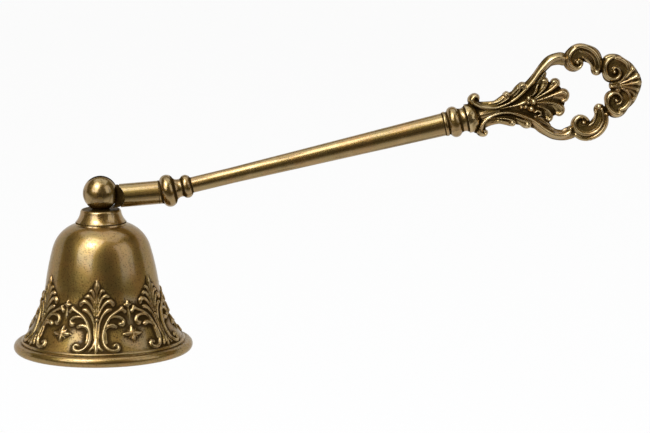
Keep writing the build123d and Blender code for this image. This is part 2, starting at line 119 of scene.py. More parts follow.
# Star and bud half way to the next palmette
HALF_WAY = math.pi * FRIEZE_RADIUS / PALMETTES
STAR_HEIGHT = 5.95
STAR_STROKES = [
    (0.62, [(HALF_WAY, STAR_HEIGHT, 0.70), (HALF_WAY - 1.0, 5.95, 0.74), (HALF_WAY - 1.9, 5.95, 0.55),
            (HALF_WAY - 2.8, 6.00, 0.12)]),
    (0.62, [(HALF_WAY, STAR_HEIGHT, 0.70), (HALF_WAY, 6.8, 0.70), (HALF_WAY, 7.5, 0.50),
            (HALF_WAY, 8.3, 0.12)]),
    (0.62, [(HALF_WAY, STAR_HEIGHT, 0.70), (HALF_WAY, 5.1, 0.70), (HALF_WAY, 4.4, 0.50),
            (HALF_WAY, 3.6, 0.12)]),
    (0.40, [(HALF_WAY, STAR_HEIGHT, 0.50), (HALF_WAY - 0.80, 6.75, 0.26), (HALF_WAY - 1.3, 7.20, 0.10)]),
    (0.40, [(HALF_WAY, STAR_HEIGHT, 0.50), (HALF_WAY - 0.80, 5.15, 0.26), (HALF_WAY - 1.3, 4.70, 0.10)]),
    (0.80, [(HALF_WAY, STAR_HEIGHT, 0.48)]),
    (0.62, [(HALF_WAY, 16.5, 0.15), (HALF_WAY, 15.8, 0.50), (HALF_WAY, 15.1, 0.66),
            (HALF_WAY, 14.3, 0.25)]),
    (0.52, [(HALF_WAY, 15.1, 0.40), (HALF_WAY - 0.75, 15.1, 0.42), (HALF_WAY - 1.2, 15.2, 0.15)]),
    (0.20, [(HALF_WAY, 14.0, 0.30), (HALF_WAY, 12.8, 0.60), (HALF_WAY, 11.7, 0.55),
            (HALF_WAY, 10.5, 0.15)]),
]


def smooth_line(points, pitch):
    """Catmull-Rom curve through the points, all columns carried along together.

    Each span is the cubic whose end slopes are half the way from the point before to the point after.
    """
    points = np.asarray(points, float)
    if len(points) == 1:
        return points
    ends = np.vstack([2 * points[0] - points[1], points, 2 * points[-1] - points[-2]])
    before, here, there, after = ends[:-3], ends[1:-2], ends[2:-1], ends[3:]
    longest = np.linalg.norm((there - here)[:, :2], axis=1).max()
    share = np.linspace(0, 1, max(2, int(np.ceil(longest / pitch))), endpoint=False)[:, None, None]
    line = here + 0.5 * ((there - before) * share
                         + (2 * before - 5 * here + 4 * there - after) * share ** 2
                         + (3 * here - before - 3 * there + after) * share ** 3)
    return np.vstack([line.transpose(1, 0, 2).reshape(-1, points.shape[1]), points[-1]])


def stroke_beads(strokes):
    """Each stroke as a close row of round beads: place across, place up, radius and crest.

    The crest sinks towards a thin end with the cube root of the half width.
    """
    rows = []
    for crest, points in strokes:
        line = smooth_line(points, BEAD_PITCH)
        rows.append(np.column_stack([line, crest * np.cbrt(line[:, 2] / line[:, 2].max())]))
    return rows


def raised(rows, across, up, ridge, roundness):
    """Lift of the strokes over a grid, and how deep each place lies inside their edges.

    At share s of the way in from a bead's edge to its middle the lift is the crest times a mix of
    the cone s and the dome (s (2 - s)) ** roundness, and the greatest of all beads counts.
    """
    lift = np.zeros((up.size, across.size))
    depth = np.full(lift.shape, -np.inf)
    margin = 2 * (across[1] - across[0])
    for beads in rows:
        x, y, radius, crest = beads.T
        reach = radius.max() + margin
        columns = slice(*np.searchsorted(across, (x.min() - reach, x.max() + reach)))
        lines = slice(*np.searchsorted(up, (y.min() - reach, y.max() + reach)))
        inside = radius - np.hypot(across[columns][None, :, None] - x, up[lines][:, None, None] - y)
        share = np.clip(inside / radius, 0, 1)
        height = crest * (ridge * share + (1 - ridge) * (share * (2 - share)) ** roundness)
        if height.size:
            lift[lines, columns] = np.maximum(lift[lines, columns], height.max(-1))
            depth[lines, columns] = np.maximum(depth[lines, columns], inside.max(-1))
    return lift, depth


def softened(field, cells):
    """Field blurred by a Gaussian of this many cells, as a product with its Fourier transform."""
    down = np.fft.fftfreq(field.shape[0])[:, None]
    across = np.fft.fftfreq(field.shape[1])[None, :]
    fall = np.exp(-2 * (np.pi * cells) ** 2 * (down ** 2 + across ** 2))
    return np.fft.ifft2(np.fft.fft2(field) * fall).real


def tangent_arc(start, end, way, count):
    """Arc that leaves start along this way and reaches end, and the way that it arrives.

    Its centre is on the normal at start, at |end - start| squared over twice their offset along it.
    """
    start, end = np.asarray(start, float), np.asarray(end, float)
    normal = np.array([-way[1], way[0]])
    chord = end - start
    radius = chord @ chord / (2 * chord @ normal)
    centre = start + normal * radius
    first = math.atan2(*(start - centre)[::-1])
    turn = math.atan2(*(end - centre)[::-1]) - first
    turn = (turn + math.pi) % (2 * math.pi) - math.pi
    angle = first + turn * np.linspace(0, 1, count)
    arc = centre + abs(radius) * np.column_stack([np.cos(angle), np.sin(angle)])
    arrival = np.array([-np.sin(angle[-1]), np.cos(angle[-1])]) * np.sign(turn)
    return arc, arrival


def bell_side():
    """Outer side from the flare's foot up to the crown, as three tangent arcs, with its outward normal."""
    way = np.array([math.cos(CROWN_SLOPE), -math.sin(CROWN_SLOPE)])
    shoulder, way = tangent_arc(CROWN, SHOULDER, way, ARC_POINTS)
    wall, way = tangent_arc(SHOULDER, WAIST, way, ARC_POINTS)
    flare, _ = tangent_arc(WAIST, FLARE_FOOT, way, 2 * ARC_POINTS)
    side = np.vstack([shoulder, wall[1:], flare[1:]])[::-1]
    tangent = np.gradient(side, axis=0)
    normal = np.column_stack([tangent[:, 1], -tangent[:, 0]])
    return side, normal / np.linalg.norm(normal, axis=1)[:, None]


def palmette_frieze(up):
    """Lift of the frieze all round the bell at these heights: half a palmette, mirrored and repeated."""
    half = np.linspace(0, HALF_WAY, HALF_PALMETTE_COLUMNS + 1)
    strokes = BUD_STROKES + RAY_STROKES + STEM_STROKES + SCROLL_STROKES + STAR_STROKES
    lift, _ = raised(stroke_beads(strokes), half, up, FRIEZE_RIDGE, FRIEZE_ROUNDNESS)
    fillet = FILLET_CREST * np.clip(1 - ((up - FILLET_HEIGHT) / FILLET_HALF_WIDTH) ** 2, 0, 1)
    lift = np.maximum(lift, fillet[:, None])
    return np.tile(np.hstack([lift[:, :0:-1], lift[:, :-1]]), PALMETTES)


def circle_part(centre, radius, first, last, count):
    """Points of a circle from one angle to another."""
    angle = np.linspace(first, last, count)
    return np.column_stack([centre[0] + radius * np.cos(angle), centre[1] + radius * np.sin(angle)])


def bell_surface():
    """Lathe surface of the bell: a closed profile, lifted along its normal by the frieze, turned round.

    The profile runs up the rim's bead and the outer side, through the bore, and down the inner side.
    """
    side, normal = bell_side()
    steps = np.linalg.norm(np.diff(side, axis=0), axis=1)
    middle = (side[1:, 0] + side[:-1, 0]) / 2
    flat = FRIEZE_RADIUS * np.concatenate([[0], np.cumsum(steps / middle)])
    up = np.linspace(0, FRIEZE_TOP, FRIEZE_ROWS)
    heights = np.concatenate([up, np.linspace(FRIEZE_TOP, flat[-1], PLAIN_ROWS)[1:]])
    outer, outward = (np.column_stack([np.interp(heights, flat, values[:, k]) for k in (0, 1)])
                      for values in (side, normal))
    inner = (side - normal * BELL_WALL)[np.linspace(len(side) - 1, 0, PLAIN_ROWS).astype(int)]
    bead_centre = np.array([RIM_RADIUS - RIM_BEAD_RADIUS,
                            math.sqrt(RIM_BEAD_RADIUS ** 2 - RIM_LAND_WIDTH ** 2 / 4)])
    land = math.atan2(-bead_centre[1], RIM_LAND_WIDTH / 2)
    over = math.atan2(*(np.array(FLARE_FOOT) - bead_centre)[::-1])
    under = math.atan2(*(inner[-1] - bead_centre)[::-1])
    bead = circle_part(bead_centre, RIM_BEAD_RADIUS, land, over, BEAD_ROWS)
    tuck = circle_part(bead_centre, RIM_BEAD_RADIUS, under, math.pi - land, TUCK_ROWS)
    bore = np.array([[STUD_BORE_RADIUS, CROWN[1]], [STUD_BORE_RADIUS, inner[0, 1]]])
    profile = np.vstack([bead, outer, bore, inner, tuck])
    columns = 2 * HALF_PALMETTE_COLUMNS * PALMETTES
    lift = np.zeros((len(profile), columns))
    frieze = slice(len(bead), len(bead) + FRIEZE_ROWS)
    lift[frieze] = palmette_frieze(up)
    way = np.zeros_like(profile)
    way[frieze] = outward[:FRIEZE_ROWS]
    radius = profile[:, :1] + lift * way[:, :1]
    height = profile[:, 1:] + lift * way[:, 1:]
    angle = PALMETTE_TURN + (np.arange(columns) - HALF_PALMETTE_COLUMNS) * 2 * math.pi / columns
    points = np.stack([radius * np.sin(angle), -radius * np.cos(angle), height], -1)
    # Painted shade with old wax: bare ground near the strokes and the hollows between them are darkened
    bare = 1 - np.minimum(lift / BARE_LIFT, 1)
    ground_wax_and_shade = sum(weight * (1 - softened(bare, reach)) for weight, reach in WAX_AND_SHADE_HAZE)
    relief = (lift - softened(lift, CREST_CELLS)) / CREST_LIFT - bare * ground_wax_and_shade
    return points, np.clip(relief, *BELL_RELIEF_RANGE)


def closed_grid_faces(rows, columns):
    """Four-sided faces of a grid that closes on itself both ways."""
    here = np.arange(rows * columns).reshape(rows, columns)
    beside = np.roll(here, -1, 1)
    return np.stack([here, beside, np.roll(beside, -1, 0), np.roll(here, -1, 0)], -1).reshape(-1, 4)


def cast_piece(name, points, faces, relief, material):
    """Smooth mesh of points in millimetres, with its relief (-1 hollow, 1 crest) as an attribute."""
    mesh = bpy.data.meshes.new(name)
    mesh.from_pydata((points.reshape(-1, 3) * MM).tolist(), [], faces.tolist())
    mesh.shade_smooth()
    mesh.attributes.new("relief", "FLOAT", "POINT").data.foreach_set("value", relief.ravel())
    mesh.materials.append(material)
    piece = bpy.data.objects.new(name, mesh)
    bpy.context.scene.collection.objects.link(piece)
    return piece


class Finish:
    """A socket in a material's shader.  Python's operators on it add Math nodes."""

    def __init__(self, tree, socket=None):
        self.tree = tree
        self.socket = socket

    def node(self, kind, settings, inputs, output=0):
        """A new node: its settings are set first, then its sockets get their values or links."""
        made = self.tree.nodes.new(kind)
        for key, value in settings.items():
            setattr(made, key, value)
        for key, value in inputs.items():
            if isinstance(value, Finish):
                self.tree.links.new(value.socket, made.inputs[key])
            else:
                made.inputs[key].default_value = value
        return Finish(self.tree, made.outputs[output] if made.outputs else None)

    def maths(self, operation, first, second):
        """A Math node on two values."""
        return self.node("ShaderNodeMath", {"operation": operation}, {0: first, 1: second})

    def __add__(self, other):
        return self.maths("ADD", self, other)

    def __sub__(self, other):
        return self.maths("SUBTRACT", self, other)

    def __rsub__(self, other):
        return self.maths("SUBTRACT", other, self)

    def __mul__(self, other):
        return self.maths("MULTIPLY", self, other)

    __radd__ = __add__
    __rmul__ = __mul__

    def greater(self, other):
        """The greater of the two values."""
        return self.maths("MAXIMUM", self, other)

    def rise(self, low, high):
        """0 below low and 1 above high, with a smooth step between them."""
        return self.node("ShaderNodeMapRange", {"interpolation_type": "SMOOTHSTEP"},
                         {"Value": self, "From Min": low, "From Max": high})

    def noise(self, place, scale, detail):
        """Noise of about this many grains a metre."""
        return self.node("ShaderNodeTexNoise", {}, {"Vector": place, "Scale": scale, "Detail": detail})

    def blend(self, first, second):
        """Colour that goes from the first to the second as this value goes from 0 to 1."""
        return self.node("ShaderNodeMix", {"data_type": "RGBA"}, {0: self, 6: first, 7: second}, 2)


# Brown of the patina, and of the painted shade in hollows
PATINA_AND_SHADE_BROWN = (0.050, 0.028, 0.008, 1)
OLIVE_BRASS = (0.264, 0.168, 0.041, 1)
TAWNY_BRASS = (0.318, 0.172, 0.042, 1)
RUBBED_GOLD = (0.480, 0.345, 0.155, 1)
EDGE_TINT = (0.60, 0.50, 0.34, 1)
CLOUD_SCALE = 190.0
GRAIN_SCALE = 1500.0
PIT_SCALE = 2900.0
PIT_RANGE = (0.55, 0.72)             # noise from the edge of a pit to its dark middle
PIT_DEPTH = 0.06 * MM
PIT_STAIN = 0.55
LACQUER_ROUGHNESS = 0.14
LACQUER_IOR = 1.7


def antique_brass(name, patina_shade_and_rub, roughness, pitting):
    """Satin brass with brown patina and painted shade in its hollows, gold on its rubbed crests, and dark
    casting pits.
    """
    material = bpy.data.materials.new(name)
    material.use_nodes = True
    tree = material.node_tree
    tree.nodes.clear()
    finish = Finish(tree)
    place = finish.node("ShaderNodeTexCoord", {}, {}, "Object")
    patina_and_shade, rub = patina_shade_and_rub(finish, place)
    cloud = finish.noise(place, CLOUD_SCALE, 3.0)
    grain = finish.noise(place, GRAIN_SCALE, 2.0)
    pits = finish.noise(place, PIT_SCALE, 0.0).rise(*PIT_RANGE)
    metal = cloud.rise(0.35, 0.70).blend(OLIVE_BRASS, TAWNY_BRASS)
    metal = rub.blend(metal, RUBBED_GOLD)
    # Painted shade: the hollows are stained dark brown, as patina and as the shade that falls in them
    stain_and_shade = (patina_and_shade * 0.95 + pits * (PIT_STAIN * pitting)).rise(0.0, 1.0)
    colour = stain_and_shade.blend(metal, PATINA_AND_SHADE_BROWN)
    skin = grain * 0.5 - pits * 0.8
    bump = finish.node("ShaderNodeBump", {}, {"Height": skin, "Strength": 0.35 * pitting,
                                              "Distance": PIT_DEPTH}, "Normal")
    shader = finish.node("ShaderNodeBsdfPrincipled", {}, {
        "Base Color": colour, "Metallic": 1.0,
        "Roughness": roughness + cloud * 0.10 + patina_and_shade * 0.40 - rub * 0.06,
        "Specular Tint": EDGE_TINT, "Coat Weight": (1.0 - stain_and_shade) * (1.0 - 0.4 * pitting),
        "Coat Roughness": LACQUER_ROUGHNESS, "Coat IOR": LACQUER_IOR, "Normal": bump})
    finish.node("ShaderNodeOutputMaterial", {}, {"Surface": shader})
    return material


def carved_patina_and_shade(finish, place):
    """Hollow, as patina and painted shade, and rub from the relief that the mesh carries."""
    relief = finish.node("ShaderNodeAttribute", {"attribute_name": "relief"}, {}, "Fac")
    return (0.0 - relief).rise(0.05, 0.75), relief.rise(0.25, 1.0) * 0.85


bell_points, bell_relief = bell_surface()
bell = cast_piece("bell", bell_points, closed_grid_faces(*bell_relief.shape), bell_relief,
                  antique_brass("bell_brass", carved_patina_and_shade, roughness=0.27, pitting=1.0))
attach(bell, "bell")
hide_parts("bell_cup")

# Crown collar and ball
# Both are turned from brass bar.  The collar is clamped between the crown and the ball, and the
# ball is sawn for the tongue of the handle.
# Grooves of the collar and ball, which get rings of patina and painted shade
COLLAR_GROOVES = [(39.0, 0.30), (43.25, 0.70)]      # heights and half widths, in millimetres
STREAK_SCALE = 900.0
STREAK_DRAW = 0.94                  # how far the streaks are drawn out, as a share of the way along


def dress(node, material):
    """Puts a material on a node of the frame."""
    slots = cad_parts[node].data.materials
    slots.clear()
    slots.append(material)


def grooved_patina_and_shade(origin, way, grooves):
    """Patina and painted shade in rings where a turned piece has grooves, and patina in faint streaks along
    its own axis.
    """
    def patina_shade_and_rub(finish, place):
        from_origin = finish.node("ShaderNodeVectorMath", {"operation": "SUBTRACT"},
                                  {0: place, 1: origin})
        along = finish.node("ShaderNodeVectorMath", {"operation": "DOT_PRODUCT"},
                            {0: from_origin, 1: way}, "Value")
        back = finish.node("ShaderNodeVectorMath", {"operation": "SCALE"},
                           {0: way, "Scale": along * -STREAK_DRAW})
        drawn_out = finish.node("ShaderNodeVectorMath", {"operation": "ADD"}, {0: from_origin, 1: back})
        patina_and_shade = finish.noise(drawn_out, STREAK_SCALE, 4.0).rise(0.42, 0.74) * 0.55
        for middle, half_width in grooves:
            away = finish.node("ShaderNodeMath", {"operation": "ABSOLUTE"}, {0: along - middle * MM})
            patina_and_shade = patina_and_shade.greater(1.0 - away.rise(half_width * 0.3 * MM, half_width * MM))
        return patina_and_shade, finish.noise(place, 260.0, 2.0).rise(0.50, 0.85) * 0.35
    return patina_shade_and_rub


bell_axis_brass = antique_brass("bell_axis_brass", grooved_patina_and_shade((0, 0, 0), (0, 0, 1), COLLAR_GROOVES),
                                roughness=0.20, pitting=0.4)
dress("crown_collar", bell_axis_brass)
dress("ball_head", bell_axis_brass)

# Hinge tongue
# A flat brass tongue with an eye for the pin, black with old wax where no cloth reaches it and with
# painted shade, as it lies in the shade between the ball and the ferrule.  Its shank is fixed in the
# ferrule.


def wax_and_painted_shade(finish, place):
    """Patina and painted shade nearly everywhere, a little thinner in clouds, and nothing rubbed bright."""
    cloud = finish.noise(place, 260.0, 2.0)
    return cloud.rise(0.05, 0.60) * 0.9, cloud * 0.0


# Painted shade: the tongue is stained dark nearly all over
dress("hinge_tongue", antique_brass("tongue_shaded_brass", wax_and_painted_shade, roughness=0.30, pitting=0.6))

# Hinge pin, washer, nut and stud
# Small plain brass fittings, duller than the rest because nobody polishes them.  The pin sits in the
# ball's cheeks, the nut draws the crown together over its washer, and the stud is screwed into the shaft.
fitting_brass = antique_brass("fitting_brass", grooved_patina_and_shade((0, 0, 0), (0, 0, 1), []),
                              roughness=0.36, pitting=0.6)
for fitting in ("hinge_pin", "crown_washer", "crown_nut", "handle_stud"):
    dress(fitting, fitting_brass)

# Ferrule
# A short brass tube over the shank of the tongue, scooped at its mouth to clear the ball.  The neck bead,
# screwed on the tail of the tongue, holds it.
PIVOT = np.array([0, 0, 46.4])
FERRULE_RISE = math.radians(4.0)
FERRULE_WAY = np.array([math.cos(FERRULE_RISE), 0, math.sin(FERRULE_RISE)])
# Groove of the ferrule, which gets a ring of patina and painted shade
FERRULE_GROOVES = [(17.6, 0.35)]
dress("ferrule", antique_brass("ferrule_brass", grooved_patina_and_shade(
    tuple(PIVOT * MM), tuple(FERRULE_WAY), FERRULE_GROOVES), roughness=0.21, pitting=0.4))

# Neck bead, shaft and butt collar
# Turned brass pieces screwed end to end on one axis, with dark wax and painted shade in their grooves.
# The handle bends a little where the neck bead meets the ferrule.
BEND_DISTANCE = 18.95
BEND = PIVOT + BEND_DISTANCE * FERRULE_WAY
SHAFT_RISE = math.radians(12.7)
SHAFT_WAY = np.array([math.cos(SHAFT_RISE), 0, math.sin(SHAFT_RISE)])
# Grooves and coves along the handle, which get rings of patina and painted shade
SHAFT_GROOVES = [(-0.8, 0.5), (3.3, 0.75), (5.9, 0.7), (8.5, 0.5), (86.2, 0.3), (87.5, 0.45),
                 (91.3, 0.6), (93.2, 0.65)]
shaft_brass = antique_brass("shaft_brass",
                            grooved_patina_and_shade(tuple(BEND * MM), tuple(SHAFT_WAY), SHAFT_GROOVES),
                            roughness=0.21, pitting=0.4)
for turned in ("neck_bead", "shaft", "butt_collar"):
    dress(turned, shaft_brass)

# Finger loop
# Cast in one piece, with two arms of scrolls and leaves round the finger gap, a fan of flutes inside
# it and a shell at its tip.  It is screwed on the stud that comes out of the butt collar.
LOOP_START = 93.3
LOOP_CELL = 0.145
LOOP_END = 148.0
LOOP_SIDES = (-16.0, 15.2)
LOOP_RIDGE = 0.30
LOOP_ROUNDNESS = 0.5
LOOP_CRESTS = ((4.0, 0.8), (9.0, 2.2))      # reach in cells and height of what counts as a crest
LOOP_WAX = 0.08
LOOP_RELIEF_RANGE = (-0.85, 1)
THINNEST = 0.05
CUFF_RADIUS = 4.4
CUFF_LENGTH = 3.7
CUFF_POWER = 3                              # the higher, the squarer the end of the cuff
CUFF_FADE = 3                               # one over the share of the cuff where its dents fade out
CUFF_DENT = 0.06                            # depth of the cast dents on the cuff
# Darkening in the cuff's dents, as wax and painted shade
CUFF_DENT_WAX_AND_SHADE = 0.9
CUFF_WAX = 0.28
DENTS_ALONG = 2.6                           # radians a millimetre, as the next two are
DENTS_ACROSS = 2.3
DENTS_SWAY = 1.9
DENTS_SWAY_REACH = 1.1
DENTS_SHIFT = 0.7
STEM_RUB = 0.35
# The strokes lie in millimetres along and across the loop.  The body strokes are broad and low and
# give the loop its outline, and the others are the carved ridges that stand on them.
BODY_STROKES = [
    (0.95, [(92.2, 0, CUFF_RADIUS), (93.7, 0, CUFF_RADIUS)]),
    (0.95, [(95.8, 3.2, 1.70), (97.5, 2.6, 1.70), (100, 2.15, 1.60), (102.5, 2.0, 1.45), (105, 2.4, 1.45),
            (108, 3.3, 1.55), (110.5, 4.2, 1.50), (113.5, 5.5, 1.38), (116.3, 7.5, 1.35),
            (119.3, 9.95, 1.50), (121.6, 11.2, 1.68), (124.3, 11.2, 1.90), (125.4, 10.7, 1.90)]),
    (0.95, [(95.8, -3.4, 1.70), (97.5, -2.6, 1.60), (100, -2.2, 1.50), (102.5, -2.3, 1.50),
            (105, -2.8, 1.50), (108, -3.7, 1.60), (110.5, -4.9, 1.60), (113.3, -6.5, 1.50),
            (114.8, -8.0, 1.70), (116.3, -9.3, 1.75), (117.9, -10.7, 1.65), (120.2, -11.6, 1.66),
            (122.1, -11.5, 1.95), (123.6, -11.3, 1.90)]),
    (0.95, [(96.5, 0, 3.40), (98.5, 0, 2.60), (103, 0, 1.80), (107, 0, 2.40), (111, 0, 4.20),
            (115, 0, 5.40), (118, 0, 5.40), (119.6, 0, 3.90)]),
    (1.05, [(128.3, 9.3, 3.10), (128.3, 10.5, 2.80), (130.3, 11.6, 2.75), (132.3, 11.0, 2.65),
            (134.2, 9.6, 2.50), (134.9, 7.4, 2.00), (134.5, 5.2, 1.70)]),
    (1.05, [(126.3, -9.8, 3.05), (126.3, -11.2, 3.00), (127.0, -12.0, 3.00), (128.7, -12.4, 2.80),
            (130.6, -11.9, 2.75), (132.2, -10.5, 2.60), (133.0, -8.6, 2.10), (132.8, -6.6, 1.75)]),
    (0.95, [(138.4, 2.9, 2.50), (138.9, 5.0, 3.00), (138.9, 6.6, 2.40), (140.4, 6.4, 2.30),
            (141.6, 4.9, 2.60), (143.2, 2.9, 2.70), (144.0, 0.2, 2.90), (144.0, -1.3, 3.00),
            (143.0, -3.4, 2.75), (141.8, -5.0, 2.70), (139.8, -6.2, 2.75), (137.8, -7.3, 3.15),
            (137.2, -6.2, 2.60), (137.4, -4.4, 2.60)]),
    (0.95, [(139.0, -0.6, 1.90), (142.0, 0.0, 2.50)]),
    (0.95, [(139.5, -2.4, 1.30)]),
    (0.95, [(113.8, -4.6, 1.30), (115.3, -6.0, 1.30), (116.3, -7.0, 0.95), (116.9, -7.9, 0.70)]),
    (0.95, [(115.3, 4.6, 1.30), (117.2, 6.1, 1.30), (118.2, 7.0, 1.00), (118.9, 7.8, 0.80)]),
]
ARM_STROKES = [
    (2.30, [(98.0, 5.3, 0.55), (97.75, 6.0, 0.70), (96.9, 6.2, 0.92), (95.95, 5.4, 1.20), (96.2, 4.3, 1.20),
            (97.2, 3.35, 1.00), (98.9, 2.35, 0.78), (102.1, 1.4, 0.64), (105.3, 1.6, 0.66),
            (107.0, 2.0, 0.60)]),
    (1.95, [(104.5, 1.45, 0.64), (106.5, 1.85, 0.72), (108.5, 2.5, 0.82), (110.5, 3.5, 0.95),
            (112.8, 4.95, 1.05), (115.1, 6.6, 1.15), (117.2, 8.5, 1.20), (119.3, 10.1, 1.25),
            (121.5, 11.4, 1.25), (123.5, 11.8, 1.15), (125.0, 11.5, 0.95), (125.9, 10.8, 0.70)]),
    (2.30, [(97.6, -4.7, 0.60), (98.1, -5.25, 0.62), (97.6, -5.7, 0.80), (96.7, -5.4, 1.00),
            (96.3, -4.4, 1.22), (96.7, -3.25, 1.12), (97.6, -2.25, 0.90), (99.0, -1.4, 0.72),
            (101.0, -0.75, 0.64), (103.6, -0.55, 0.64), (106.0, -1.0, 0.68), (107.2, -1.5, 0.62)]),
    (1.95, [(104.8, -0.7, 0.62), (106.5, -1.2, 0.72), (108.3, -2.1, 0.84), (110.4, -3.45, 0.96),
            (112.3, -5.0, 1.05), (113.8, -6.7, 1.10), (115.4, -8.7, 1.15), (117.2, -10.4, 1.20),
            (119.2, -11.4, 1.20), (121.2, -11.6, 1.15), (122.6, -11.0, 1.00), (123.0, -10.2, 0.85)]),
]
LEAF_STROKES = [
    (0.90, [(97.0, 4.9, 1.30)]), (0.90, [(97.0, -4.7, 1.30)]),
    (1.30, [(100.5, 2.9, 0.20), (102.5, 2.9, 0.55), (104.3, 3.2, 0.90), (105.8, 3.6, 1.15),
            (106.4, 3.9, 1.25)]),
    (1.70, [(101.5, 2.9, 0.14), (103.4, 3.0, 0.28), (105.2, 3.6, 0.36)]),
    (2.10, [(103.0, 2.2, 0.22), (105.0, 2.7, 0.42), (106.4, 3.3, 0.56), (107.1, 4.1, 0.62),
            (106.6, 4.8, 0.60), (105.8, 4.6, 0.48)]),
    (2.10, [(106.2, 4.2, 0.70)]),
    (1.35, [(106.7, 3.2, 0.30), (108.6, 4.2, 0.80), (110.2, 5.1, 1.20), (111.6, 5.6, 1.45)]),
    (1.80, [(107.2, 3.7, 0.16), (108.9, 4.7, 0.32), (110.2, 5.6, 0.40)]),
    (2.25, [(108.2, 3.4, 0.28), (109.7, 4.3, 0.50), (110.7, 5.3, 0.64), (111.4, 6.2, 0.72),
            (112.3, 6.1, 0.72), (112.5, 5.3, 0.55)]),
    (2.30, [(111.7, 5.4, 0.75)]),
    (1.10, [(99.2, -2.9, 0.30), (102.5, -3.0, 0.80), (104.7, -3.6, 1.10), (106.2, -4.2, 1.25)]),
    (1.60, [(101.0, -2.6, 0.14), (103.2, -2.9, 0.28), (105.0, -3.7, 0.36)]),
    (2.10, [(102.6, -2.0, 0.22), (105.0, -2.7, 0.42), (106.4, -3.4, 0.62), (107.0, -4.2, 0.72),
            (106.4, -4.8, 0.72), (105.7, -4.4, 0.55)]),
    (2.20, [(106.3, -4.15, 1.15)]),
    (1.35, [(107.0, -3.3, 0.30), (108.8, -4.6, 0.90), (110.2, -5.6, 1.40), (110.8, -5.8, 1.45)]),
    (2.25, [(107.8, -3.2, 0.28), (109.6, -4.3, 0.52), (110.9, -5.0, 0.70), (111.5, -5.8, 0.80),
            (110.8, -6.4, 0.80), (109.9, -6.0, 0.58)]),
    (2.45, [(110.6, -5.75, 1.35)]),
]
SCROLLWORK = [
    (1.55, [(131.3, 9.9, 0.45), (132.3, 9.0, 0.50), (133.2, 7.5, 0.52), (133.5, 5.8, 0.52)]),
    (1.55, [(128.6, -10.5, 0.45), (130.0, -9.9, 0.50), (131.1, -8.5, 0.52), (131.6, -7.0, 0.52)]),
    (1.95, [(131.0, 13.2, 0.60), (129.5, 13.1, 0.84), (127.9, 12.1, 1.02), (127.1, 10.7, 1.08),
            (127.1, 9.1, 1.08), (127.8, 7.9, 1.02), (129.0, 7.3, 0.96), (130.2, 7.7, 0.84),
            (130.6, 8.8, 0.72), (130.0, 9.6, 0.60)]),
    (2.20, [(129.3, 9.0, 1.05)]),
    (1.75, [(129.5, 13.7, 0.72), (131.5, 13.3, 0.96), (133.5, 12.2, 1.08), (135.0, 10.5, 1.14),
            (135.7, 8.5, 1.08), (135.7, 6.8, 0.96), (135.3, 5.6, 0.84)]),
    (1.65, [(131.0, 12.0, 0.48), (132.4, 11.4, 0.60), (133.6, 10.3, 0.66), (134.4, 8.8, 0.66),
            (134.6, 7.2, 0.66), (134.2, 5.6, 0.72)]),
    (1.80, [(134.4, 4.6, 1.26)]),
    (1.95, [(128.6, -8.7, 0.66), (127.9, -7.7, 0.84), (126.6, -7.3, 0.96), (125.3, -7.7, 1.02),
            (124.5, -8.8, 1.08), (124.5, -10.3, 1.08), (125.3, -11.8, 1.08), (126.7, -12.8, 1.08),
            (128.5, -13.1, 1.02), (130.4, -12.7, 0.96), (132.0, -11.5, 0.90), (133.1, -9.9, 0.84),
            (133.5, -8.1, 0.78), (133.4, -6.6, 0.78)]),
    (2.20, [(127.2, -9.2, 1.05)]),
    (1.85, [(132.8, -5.7, 1.26)]),
    (1.60, [(124.2, -12.4, 0.96), (125.6, -13.8, 1.02), (127.4, -14.4, 1.02), (129.4, -14.3, 1.02),
            (131.4, -13.5, 1.02), (133.0, -12.2, 1.02), (134.1, -10.3, 0.96), (134.5, -8.5, 0.84)]),
    (1.95, [(140.0, 7.9, 0.72), (138.5, 7.4, 0.96), (137.4, 6.2, 1.02), (136.9, 4.5, 1.02),
            (137.2, 2.8, 1.02), (138.3, 1.7, 0.96), (139.9, 1.5, 0.90), (141.0, 2.5, 0.84),
            (141.1, 3.8, 0.72), (140.3, 4.7, 0.60), (139.4, 4.5, 0.48)]),
    (2.20, [(139.5, 3.6, 0.95)]),
    (1.50, [(138.0, 8.2, 0.84), (139.5, 8.3, 0.84), (140.6, 8.0, 0.72)]),
    (1.70, [(140.8, 7.4, 0.84), (142.3, 6.6, 1.02), (143.5, 5.3, 1.02), (143.8, 3.8, 0.96),
            (143.2, 2.4, 0.84), (142.0, 1.1, 0.60), (140.9, 0.3, 0.48)]),
    (1.95, [(139.9, -4.2, 0.54), (139.2, -3.1, 0.72), (137.9, -2.7, 0.90), (136.4, -3.3, 1.02),
            (135.5, -4.8, 1.02), (135.5, -6.6, 1.02), (136.3, -8.2, 1.08), (137.6, -9.2, 1.14),
            (138.7, -9.1, 0.96)]),
    (2.20, [(138.2, -5.0, 0.98)]),
    (1.70, [(139.9, -4.2, 0.54), (140.0, -5.3, 0.54), (139.2, -6.1, 0.54), (138.2, -6.2, 0.48)]),
    (1.70, [(138.9, -8.1, 0.84), (140.6, -7.6, 0.96), (142.0, -6.3, 0.96), (142.5, -4.7, 0.90),
            (142.0, -3.2, 0.78), (140.8, -2.0, 0.60)]),
]
SHELL_STROKES = [
    (1.50, [(137.9, -0.6, 0.78), (139.0, -0.8, 0.84)]),
    (1.60, [(140.3, 0.0, 0.39), (142.6, 1.0, 0.62), (144.4, 2.3, 0.84), (145.1, 3.0, 0.95)]),
    (1.60, [(140.5, -0.5, 0.39), (143.2, 0.0, 0.67), (145.9, 0.5, 1.12)]),
    (1.60, [(140.5, -1.0, 0.39), (143.2, -1.2, 0.67), (146.0, -1.4, 1.12)]),
    (1.60, [(140.5, -1.4, 0.34), (143.0, -2.2, 0.67), (145.0, -3.2, 0.95)]),
    (1.55, [(141.0, -2.0, 0.34), (143.2, -3.4, 0.62), (144.0, -5.0, 0.90), (143.4, -5.9, 0.78)]),
]
